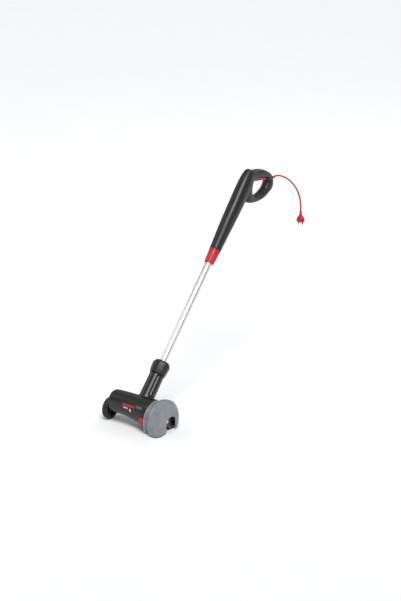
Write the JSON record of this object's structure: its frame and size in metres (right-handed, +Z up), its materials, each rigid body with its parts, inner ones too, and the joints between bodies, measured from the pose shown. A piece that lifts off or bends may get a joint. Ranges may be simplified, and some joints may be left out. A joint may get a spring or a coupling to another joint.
{
  "type": "lawn edger",
  "caption": "Corded electric lawn edger with a telescoping pole, a D-loop handle with trigger, a guarded pointed blade and a ribbed guide wheel.",
  "frame": {"origin": "middle of the handle's grip bar, where a hand holds the tool", "axes": "+Z up, +Y back towards the user, +X from the guide wheel to the blade guard; the pole leans 45 degrees"},
  "size_m": [0.2955, 1.252, 0.863],
  "materials": {
    "black_plastic": "satin moulded plastic with a fine grain",
    "red_plastic": "semi-gloss moulded plastic",
    "red_rubber": "smooth flexible sheath",
    "grey_plastic": "semi-gloss, slightly translucent",
    "tyre_rubber": "matte",
    "tube_aluminium": "bright drawn",
    "die_cast": "as cast",
    "bright_steel": "ground",
    "dark_steel": "blackened",
    "copper": "wound and lacquered copper",
    "brass": "plain",
    "carbon": "pressed carbon"
  },
  "bodies": {
    "handle": {"handle_shell_left": "black_plastic", "handle_shell_right": "black_plastic", "handle_screw_1": "dark_steel", "handle_screw_2": "dark_steel", "handle_screw_3": "dark_steel", "telescope_bush": "black_plastic", "trigger_pin": "bright_steel", "power_switch": "black_plastic", "cord_clamp": "black_plastic", "cord_guard": "red_rubber", "power_cord": "red_rubber", "plug_body": "red_plastic", "plug_pin_left": "brass", "plug_pin_right": "brass"},
    "lock_collar": {"lock_collar": "red_plastic"},
    "trigger": {"trigger": "red_plastic"},
    "switch_plunger": {"switch_plunger": "red_plastic"},
    "head": {"shaft_tube": "tube_aluminium", "tube_collet": "black_plastic", "motor_lead": "black_plastic", "housing_front": "black_plastic", "housing_rear": "black_plastic", "housing_screw_1": "dark_steel", "housing_screw_2": "dark_steel", "housing_screw_3": "dark_steel", "housing_screw_4": "dark_steel", "housing_screw_5": "dark_steel", "housing_screw_6": "dark_steel", "stator_core": "dark_steel", "field_coil_upper": "copper", "field_coil_lower": "copper", "motor_bearing_rear": "bright_steel", "motor_bearing_front": "bright_steel", "brush_front": "carbon", "brush_rear": "carbon", "brush_holder_front": "brass", "brush_holder_rear": "brass", "spindle_bearing_inner": "bright_steel", "spindle_bearing_outer": "bright_steel", "gearbox_cover": "die_cast", "blade_guard": "grey_plastic", "guard_screw_1": "bright_steel", "guard_screw_2": "bright_steel", "guard_screw_3": "bright_steel", "lock_button_spring": "bright_steel", "wheel_axle": "bright_steel"},
    "clamp_nut": {"clamp_nut": "black_plastic"},
    "blade": {"spindle": "bright_steel", "drive_gear": "bright_steel", "blade": "dark_steel", "blade_washer": "bright_steel", "blade_nut": "bright_steel"},
    "armature": {"armature_shaft": "bright_steel", "armature_core": "copper", "commutator": "copper", "cooling_fan": "black_plastic", "pinion": "bright_steel"},
    "wheel": {"wheel_hub": "black_plastic", "wheel_tyre": "tyre_rubber"},
    "lock_button": {"lock_button": "red_plastic"}
  },
  "joints": [
    {"name": "telescope_slide", "type": "slide", "parent": "handle", "child": "head", "axis": [0, -0.7071, -0.7071], "range_m": [-0.12, 0]},
    {"name": "lock_collar_twist", "type": "hinge", "parent": "handle", "child": "lock_collar", "pos_m": [0, -0.34649, -0.24849], "axis": [0, 0.7071, 0.7071], "range_deg": [0, 75]},
    {"name": "trigger_pull", "type": "hinge", "parent": "handle", "child": "trigger", "pos_m": [0, -0.06199, -0.00427], "axis": [1, 0, 0], "range_deg": [0, 3.5], "stiffness_Nm_per_rad": 2, "springref_deg": -2.86},
    {"name": "switch_plunger_press", "type": "slide", "parent": "handle", "child": "switch_plunger", "axis": [0, 0.1577, 0.9875], "range_m": [0, 0.0032]},
    {"name": "clamp_nut_turn", "type": "hinge", "parent": "head", "child": "clamp_nut", "pos_m": [0, -0.71418, -0.61618], "axis": [0, 0.7071, 0.7071], "range_deg": [0, 120]},
    {"name": "blade_spin", "type": "hinge", "parent": "head", "child": "blade", "pos_m": [0.03, -0.845, -0.767], "axis": [1, 0, 0], "continuous": true},
    {"name": "motor_spin", "type": "hinge", "parent": "head", "child": "armature", "pos_m": [0.03, -0.845, -0.7334], "axis": [1, 0, 0], "continuous": true},
    {"name": "wheel_roll", "type": "hinge", "parent": "head", "child": "wheel", "pos_m": [-0.146, -0.845, -0.77], "axis": [1, 0, 0], "continuous": true},
    {"name": "spindle_lock_press", "type": "slide", "parent": "head", "child": "lock_button", "axis": [0, 1, 0], "range_m": [0, 0.004], "stiffness_N_per_m": 300, "springref_m": -0.004, "deforming": ["lock_button_spring"]}
  ],
  "couplings": [
    {"joint": "motor_spin", "follows": "blade_spin", "ratio": -3},
    {"joint": "switch_plunger_press", "follows": "trigger_pull", "m_per_rad": 0.05}
  ]
}
